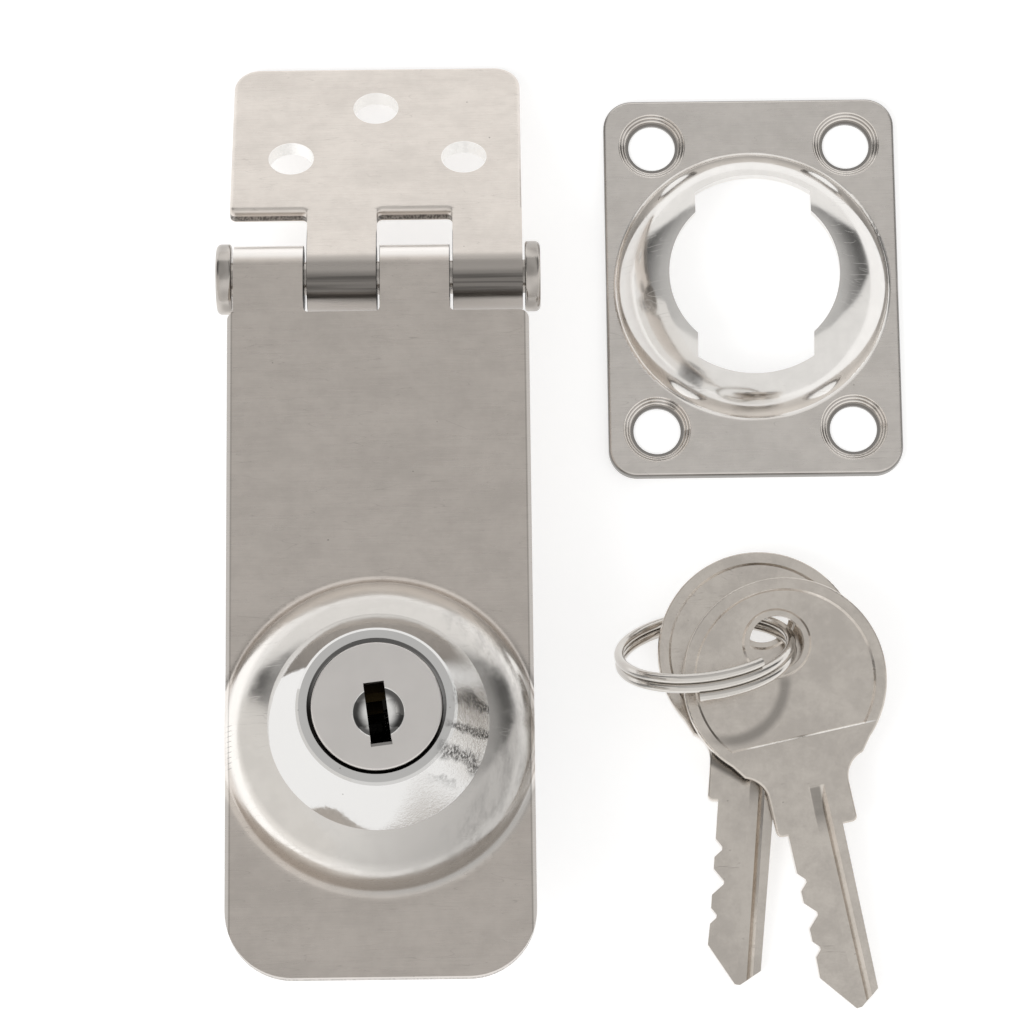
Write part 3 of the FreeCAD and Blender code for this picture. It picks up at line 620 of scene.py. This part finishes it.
def chrome_plate():
    recipe = Recipe("chromed_cone")
    wave = recipe.noise(0.35)
    speck = recipe.noise(2.6, detail=4.0, rough=0.7)
    to_right = recipe.along((1.0, -0.35, 0.0), LOCK_POINT)
    pebbles = recipe.product(speck, recipe.span(to_right, *PEBBLED_RIGHT))
    tone = recipe.over(CHROME_COLOUR, PIT_COLOUR, pits(recipe, 2.6, 0.13, 0.25), 0.6)
    # painted dark reflection, in folds at the right where the plating is pebbled
    bend = recipe.product(recipe.noise(0.22), 8.0)
    rows = recipe.product(recipe.along((0.2, 1, 0)), 1.7)
    fold = recipe.math("SINE", recipe.total(bend, rows))
    beside = recipe.along(BACK, LOCK_POINT)
    streak = recipe.product(recipe.span(fold, -0.3, 1.0), recipe.span(speck, 0.30, 0.62),
                            recipe.span(to_right, *FOLDS_RIGHT),
                            recipe.span(beside, *FOLDS_FRONT), recipe.fall(beside, *FOLDS_BACK))
    tone = recipe.over(tone, FOLD_REFLECTION_COLOUR, streak)
    # the groove round the plug is black in front and catches some light at the back
    groove = recipe.product(recipe.fall(recipe.along(LOCK_AXIS, FACE_POINT), *GROOVE_DEPTH),
                            recipe.fall(recipe.distance(FACE_POINT), *GROOVE_WALL))
    to_back = recipe.span(recipe.along((0.25, 1, 0), FACE_POINT), -3.0, 5.0)
    tone = recipe.over(tone, recipe.blend(to_back, DARK_INSIDE, GROOVE_BACK), groove)
    normal = recipe.reliefs((wave, 0.02), (pebbles, 0.05))
    return recipe.metal(tone, recipe.span(speck, 0.35, 0.75, 0.04, 0.09), normal)


chrome = chrome_plate()
print("finish:", chrome.name)

# %% [markdown]
# ## The satin plug
# The plug's face is a duller satin plate. The dimple in its middle has a painted highlight, as
# bright as a spoon, with a painted dark reflection round its rim, and everything below the face
# turns black, where no light reaches. One material does it all: the depth below the face and the
# distance from the middle say where.

# %% Satin plug
SATIN_COLOUR = (0.775, 0.745, 0.720, 1)
SPOON_HIGHLIGHT = (0.98, 0.97, 0.95, 1)
RIM_COLOUR = (0.10, 0.098, 0.096, 1)
DIMPLE = (FACE_POINT[0] + 0.25, FACE_POINT[1] - 0.8, 0.0)
DIMPLE_EDGE, DIMPLE_RIM = (3.1, 3.2), ((1.5, 2.7), (3.02, 3.12))
FOOT_DEPTH, FOOT_FROM, FOOT_TO = (-0.14, -0.06), (3.9, 4.1), (5.5, 5.7)
KEYWAY_DEPTH, KEYWAY_EDGE = (-0.95, -0.78), (4.8, 5.2)
SIDE_DEPTH, SIDE_FROM = (-0.45, -0.25), (7.6, 7.8)


def satin_plate():
    recipe = Recipe("satin_plug")
    grain = recipe.noise(9.0, detail=3.0)
    cloud = recipe.noise(0.25)
    tone = recipe.blend(recipe.span(cloud, 0.3, 0.7), tint(SATIN_COLOUR, 0.96), SATIN_COLOUR)
    tone = recipe.over(tone, PIT_COLOUR, pits(recipe, 1.9, 0.10, 0.3), 0.4)
    # the dimple: a painted highlight in it and a painted dark reflection on its rim
    from_dimple = recipe.distance(DIMPLE)
    spoon = recipe.fall(from_dimple, *DIMPLE_EDGE)
    tone = recipe.over(tone, SPOON_HIGHLIGHT, spoon)
    tone = recipe.over(tone, RIM_COLOUR, recipe.band(from_dimple, *DIMPLE_RIM))
    # below the face: the foot of the face, the keyway's inside and the plug's side
    depth = recipe.along(LOCK_AXIS, FACE_POINT)
    middle = recipe.distance(FACE_POINT)
    foot = recipe.product(recipe.fall(depth, *FOOT_DEPTH), recipe.span(middle, *FOOT_FROM),
                          recipe.fall(middle, *FOOT_TO))
    inside = recipe.product(recipe.fall(depth, *KEYWAY_DEPTH), recipe.fall(middle, *KEYWAY_EDGE))
    side = recipe.product(recipe.fall(depth, *SIDE_DEPTH), recipe.span(middle, *SIDE_FROM))
    tone = recipe.over(tone, DARK_INSIDE, foot, 0.6)
    tone = recipe.over(tone, DARK_INSIDE, recipe.largest(inside, side))
    dull = recipe.span(grain, 0.3, 0.7, 0.28, 0.36)
    surface = recipe.total(recipe.product(dull, recipe.rest(spoon)), recipe.product(spoon, 0.08))
    dents = recipe.product(recipe.noise(1.1, detail=1.0), spoon)
    return recipe.metal(tone, surface, recipe.reliefs((dents, 0.05), (grain, 0.003)))


satin = satin_plate()
print("finish:", satin.name)

# %% [markdown]
# ## The nickel keys
# The keys are nickel over soft brass, dented and rubbed all over. Each lies in its own
# direction, so its marks are placed from its hole, down its length and across it. The step
# across the bow carries a painted highlight, and the head of the groove painted shade. Two
# marks belong to one key each: a painted dark reflection of the ring, as an arc on the front
# key's bow, and a painted shadow of the front key's edge on the back key.

# %% Marks on the keys
NICKEL_COLOUR = (0.690, 0.640, 0.585, 1)
STEP_HIGHLIGHT = (0.99, 0.97, 0.94, 1)
STEP_DOWN, STEP_WIDTH = 12.2, (0.05, 0.12)
STEP_LEFT, STEP_RIGHT = (-7.0, -5.5), (9.0, 10.5)
GROOVE_HEAD, GROOVE_FADE = (18.4, 18.9), (20.5, 25.5)
GROOVE_LEFT, GROOVE_RIGHT = (-0.2, 0.1), (1.1, 1.5)
ARC_RADIUS, ARC_WIDTH = 7.4, (0.15, 1.15)
ARC_LEFT, ARC_BACK = (-4.0, 1.0), (-1.5, 0.5)
SHADOW_FADE, SHADOW_WIDTH = 0.8, (0.25, 0.95)


def stamped_step(recipe, tone, down, across):
    """The straight step across the bow, left by the stamp, with a painted highlight on it."""
    step = recipe.product(recipe.fall(recipe.gap(down, STEP_DOWN), *STEP_WIDTH),
                          recipe.span(across, *STEP_LEFT), recipe.fall(across, *STEP_RIGHT))
    return recipe.over(tone, STEP_HIGHLIGHT, step)


def milled_groove(recipe, tone, down, across):
    """The head of the groove, darkened with painted shade in the recess."""
    groove = recipe.product(recipe.span(down, *GROOVE_HEAD), recipe.fall(down, *GROOVE_FADE),
                            recipe.span(across, *GROOVE_LEFT), recipe.fall(across, *GROOVE_RIGHT))
    return recipe.over(tone, tint(NICKEL_COLOUR, 0.25), groove, 0.75)


def ring_reflection_arc(recipe, tone, middle):
    """Painted dark reflection of the ring: a grey arc on the bow, round the point given."""
    off = recipe.gap(recipe.distance(middle), ARC_RADIUS)
    arc = recipe.product(recipe.fall(off, *ARC_WIDTH),
                         recipe.span(recipe.along(RIGHT, middle), *ARC_LEFT),
                         recipe.span(recipe.along(FRONT, middle), *ARC_BACK))
    return recipe.over(tone, tint(NICKEL_COLOUR, 0.45), arc, 0.8)


def painted_shadow_line(recipe, tone, start, end):
    """Painted shadow along a line, under the other key's edge."""
    start, end = Vector(start), Vector(end)
    length, run = (end - start).length, (end - start).normalized()
    on, off = recipe.along(run, start), recipe.along((run.y, -run.x, 0.0), start)
    key_shadow = recipe.product(recipe.span(on, -SHADOW_FADE, 0.0),
                          recipe.fall(on, length, length + SHADOW_FADE),
                          recipe.fall(recipe.math("ABSOLUTE", off), *SHADOW_WIDTH))
    return recipe.over(tone, tint(NICKEL_COLOUR, 0.20), key_shadow, 0.8)


print("key marks ready")

# %% Nickel keys
FRONT_KEY = {"hole": (1.53, -48.96, 8.8), "yaw": 12.1, "pitch": 9.57}
BACK_KEY = {"hole": (0.0, -44.5, 4.0), "yaw": -4.9, "pitch": 3.65}
ARC_MIDDLE = (-4.9, -53.8, 0.0)
SHADOW_ENDS = ((-7.6, -62.4, 0.0), (-2.5, -65.4, 0.0))


def nickel_plate(name, hole, yaw, pitch, arc_middle=None, shadow_ends=None):
    """Nickel on a key whose hole, turn on the table and slope are given, all as they lie."""
    recipe = Recipe(name)
    yaw, pitch = math.radians(yaw), math.radians(pitch)
    to_tip = (math.sin(yaw) * math.cos(pitch), -math.cos(yaw) * math.cos(pitch), -math.sin(pitch))
    to_side = (math.cos(yaw), math.sin(yaw), 0.0)
    down, across = recipe.along(to_tip, hole), recipe.along(to_side, hole)
    dented = recipe.noise(0.7, detail=3.0, rough=0.6)
    grain = recipe.noise(3.0, detail=3.0, rough=0.7)
    lines = recipe.largest(scratches(recipe, 70.0, 1.6, 12.0, seed=5.0),
                           scratches(recipe, 134.0, 2.2, 7.0, seed=17.0))
    dots = pits(recipe, 2.3, 0.13, 0.4)
    cloud = recipe.total(recipe.product(recipe.noise(0.14), 0.5),
                         recipe.product(recipe.noise(0.5, detail=4.0, rough=0.7), 0.5))
    tone = recipe.blend(recipe.span(cloud, 0.36, 0.64), tint(NICKEL_COLOUR, 0.89),
                        tint(NICKEL_COLOUR, 1.05))
    tone = recipe.over(tone, tint(NICKEL_COLOUR, 0.55), lines, 0.5)
    tone = recipe.over(tone, PIT_COLOUR, dots, 0.5)
    tone = stamped_step(recipe, tone, down, across)
    tone = milled_groove(recipe, tone, down, across)
    if arc_middle is not None:
        tone = ring_reflection_arc(recipe, tone, arc_middle)
    if shadow_ends is not None:
        tone = painted_shadow_line(recipe, tone, *shadow_ends)
    normal = recipe.reliefs((dented, 0.014), (grain, 0.0016), (lines, -0.004), (dots, -0.03))
    return recipe.metal(tone, recipe.span(grain, 0.3, 0.7, 0.13, 0.21), normal)


nickel_1 = nickel_plate("nickel_key_1", **FRONT_KEY, arc_middle=ARC_MIDDLE)
nickel_2 = nickel_plate("nickel_key_2", **BACK_KEY, shadow_ends=SHADOW_ENDS)
print("finishes:", nickel_1.name, nickel_2.name)

# %% [markdown]
# ## Wire, pin and hidden hardware
# The ring is drawn spring wire, the hinge pin has upset heads, and what sits behind the boss
# is zinc-plated steel, die-cast zinc and brass. They are small, but each still gets its own
# grain, because the part is also looked at from behind.

# %% Small hardware finishes
WIRE_COLOUR = (0.66, 0.632, 0.598, 1)
PIN_DARK, PIN_PALE = (0.38, 0.355, 0.33, 1), (0.56, 0.525, 0.49, 1)
ZINC_COLOUR, CAST_COLOUR = (0.62, 0.63, 0.645, 1), (0.58, 0.585, 0.59, 1)
BRASS_SHADE_DARK, BRASS_SHADE_PALE = (0.034, 0.024, 0.011, 1), (0.065, 0.045, 0.02, 1)


def drawn_wire():
    recipe = Recipe("drawn_wire")
    grain = recipe.noise(3.0)
    return recipe.metal(WIRE_COLOUR, recipe.span(grain, 0.3, 0.7, 0.12, 0.20),
                        recipe.relief(grain, 0.003))


def upset_pin():
    recipe = Recipe("upset_pin")
    lump = recipe.noise(0.55, detail=0.0)
    grain = recipe.noise(5.0, detail=3.0, rough=0.7)
    tone = recipe.blend(recipe.span(lump, 0.25, 0.75), PIN_DARK, PIN_PALE)
    return recipe.metal(tone, 0.19, recipe.reliefs((lump, 0.04), (grain, 0.004)))


def zinc_plate(name, colour, grain_scale, grain_depth):
    recipe = Recipe(name)
    grain = recipe.noise(grain_scale, detail=3.0, rough=0.65)
    tone = recipe.blend(recipe.span(recipe.noise(0.3), 0.3, 0.7), tint(colour, 0.82), colour)
    return recipe.metal(tone, recipe.span(grain, 0.3, 0.7, 0.30, 0.44),
                        recipe.relief(grain, grain_depth))


def brass_in_shade():
    """Brass painted near black, as painted shade behind the keyway."""
    recipe = Recipe("brass_in_shade")
    grain = recipe.noise(1.0, (0.3, 8.0, 8.0), 7.1)
    return recipe.metal(recipe.blend(grain, BRASS_SHADE_DARK, BRASS_SHADE_PALE), 0.42,
                        recipe.relief(grain, 0.003))


wire = drawn_wire()
pin_steel = upset_pin()
zinc = zinc_plate("zinc_plate", ZINC_COLOUR, 5.0, 0.008)
cast_zinc = zinc_plate("cast_zinc", CAST_COLOUR, 2.2, 0.03)
brass = brass_in_shade()
print("finishes:", wire.name, pin_steel.name, zinc.name, cast_zinc.name, brass.name)

# %% [markdown]
# ## Dress the solids
# Each solid gets its finish by name. The meshes themselves aren't touched: they come with
# smooth normals on the domes and rounds, and crisp ones at the punched edges.

# %% Finish for each solid
FINISHES = {
    "mount_leaf": leaf_steel, "hasp_plate": hasp_steel, "strike_plate": strike_steel,
    "hinge_pin": pin_steel, "cylinder_housing": chrome, "key_plug": satin,
    "key_1": nickel_1, "key_2": nickel_2, "key_ring": wire, "wafer_springs": wire,
    "housing_washer": zinc, "housing_nut": zinc, "cam_washer": zinc, "cam_screw": zinc,
    "plug_clip": zinc, "stop_pin": zinc, "locking_cam": cast_zinc,
    "wafer_1": brass, "wafer_2": brass, "wafer_3": brass, "wafer_4": brass,
}


def dress(piece, finish):
    piece.data.materials.clear()
    piece.data.materials.append(finish)


for name, piece in sorted(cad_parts.items()):
    dress(piece, FINISHES[name])
print("dressed:", len(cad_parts))

# %% [markdown]
# ## Table and light
# Metal shows what is round it, so the light is really a picture of a studio. A white table
# lies below. To the lamp it is a soft white that takes a shadow. For the camera and in
# reflections it also glows, so it shows as paper white, and yet it sheds no light on anything
# that isn't a mirror.

# %% White table
TABLE_SIZE = 3.0
TABLE_COLOUR = (0.66, 0.66, 0.66, 1)
TABLE_GLOW = 0.58


def plain_material(name, colour, roughness, glow):
    """A material of one colour that can glow in the colour given, and its shader."""
    material = bpy.data.materials.new(name)
    material.use_nodes = True
    shader = material.node_tree.nodes["Principled BSDF"]
    shader.inputs["Base Color"].default_value = colour
    shader.inputs["Roughness"].default_value = roughness
    shader.inputs["Emission Color"].default_value = glow
    return material, shader


def lay_table():
    bpy.ops.mesh.primitive_plane_add(size=TABLE_SIZE)
    table = bpy.context.object
    table.name = "white_table"
    material, shader = plain_material("white_table", TABLE_COLOUR, 0.9, (1, 1, 1, 1))
    shader.inputs["Specular IOR Level"].default_value = 0.0
    graph = Graph(material.node_tree)
    ray = graph.add("ShaderNodeLightPath")
    seen = graph.largest(ray.outputs["Is Camera Ray"], ray.outputs["Is Glossy Ray"],
                         ray.outputs["Is Transmission Ray"])
    graph.join(graph.product(seen, TABLE_GLOW), shader.inputs["Emission Strength"])
    table.data.materials.append(material)
    return table


print("laid:", lay_table().name)

# %% [markdown]
# ## The studio in the reflections
# In front, towards the camera, hangs one wide soft panel that reaches nearly overhead, and
# another closes the back. The ceiling is duller, so flat plates stay grey, and the two dark
# corners at left and right draw the dark streaks that say polished steel. All of it is one
# world shader: masks on the direction that a reflected ray flies in.

# %% Studio world
WORLD_COLOUR = (1.0, 0.995, 0.985, 1)
CORNER_LEVEL, CEILING_LEVEL = 0.14, 0.64
HORIZON_LEVEL = 0.35
FRONT_LEVEL, BACK_LEVEL = 0.92, 1.0
FRONT_LEAN, BACK_LEAN = 0.55, 0.20
CEILING_SLOPE, HORIZON_SLOPE = (0.25, 0.95), (0.02, 0.15)
FRONT_EDGE, BACK_EDGE = (0.25, 0.37), (0.55, 0.64)


def hang_world():
    world = bpy.data.worlds.new("studio")
    bpy.context.scene.world = world
    world.use_nodes = True
    graph = Graph(world.node_tree)
    coordinates = graph.add("ShaderNodeTexCoord")
    parts = graph.add("ShaderNodeSeparateXYZ")
    graph.join(coordinates.outputs["Generated"], parts.inputs[0])
    back, high = parts.outputs["Y"], parts.outputs["Z"]
    ceiling = graph.span(high, *CEILING_SLOPE, CORNER_LEVEL, CEILING_LEVEL)
    horizon = graph.span(high, *HORIZON_SLOPE, HORIZON_LEVEL, 0.0)
    front_slant = graph.total(back, graph.product(high, FRONT_LEAN))
    front_panel = graph.span(front_slant, *FRONT_EDGE, FRONT_LEVEL, 0.0)
    back_slant = graph.math("SUBTRACT", back, graph.product(high, BACK_LEAN))
    back_panel = graph.span(back_slant, *BACK_EDGE, 0.0, BACK_LEVEL)
    background = world.node_tree.nodes["Background"]
    background.inputs["Color"].default_value = WORLD_COLOUR
    graph.join(graph.largest(ceiling, horizon, front_panel, back_panel),
               background.inputs["Strength"])
    return world


print("hung:", hang_world().name)

# %% [markdown]
# ## A card and a lamp
# A photographer brightens a dark side with a white card. Here one stands at the left and hides
# the dark corner from the boss beside it, while the strike, further off, still mirrors the
# corner. Only reflections see the card, so it never stands in the way of a picture from that
# side. A weak wide lamp draws the soft shadow on the table, and metal doesn't mirror it.

# %% Side card and soft lamp
CARD_X, CARD_FROM, CARD_TO = -0.205, -0.40, 0.012
CARD_FOOT, CARD_HEIGHT = 0.001, 0.25
CARD_COLOUR, CARD_GLOW = (0.02, 0.02, 0.02, 1), (1.0, 0.985, 0.96, 1)
CARD_LEVEL = 0.86
LAMP_PLACE = (-0.45, -0.35, 0.60)
LAMP_SIZE, LAMP_WATTS = 0.35, 1.6


def stand_card():
    bpy.ops.mesh.primitive_plane_add(size=1.0)
    card = bpy.context.object
    card.name = "side_card"
    for corner in card.data.vertices:
        along, up = corner.co.x + 0.5, corner.co.y + 0.5
        corner.co = (CARD_X, CARD_FROM + (CARD_TO - CARD_FROM) * along,
                     CARD_FOOT + CARD_HEIGHT * up)
    material, shader = plain_material("side_card", CARD_COLOUR, 1.0, CARD_GLOW)
    shader.inputs["Emission Strength"].default_value = CARD_LEVEL
    card.data.materials.append(material)
    card.visible_camera = card.visible_diffuse = card.visible_shadow = False
    return card


def hang_lamp():
    data = bpy.data.lights.new("key_light", "AREA")
    data.shape = "SQUARE"
    data.size = LAMP_SIZE
    data.energy = LAMP_WATTS
    lamp = bpy.data.objects.new("key_light", data)
    lamp.location = LAMP_PLACE
    aim = CAMERA_TARGET - Vector(LAMP_PLACE)
    lamp.rotation_euler = aim.to_track_quat("-Z", "Y").to_euler()
    lamp.visible_glossy = False
    bpy.context.scene.collection.objects.link(lamp)
    return lamp


print("placed:", stand_card().name, hang_lamp().name)
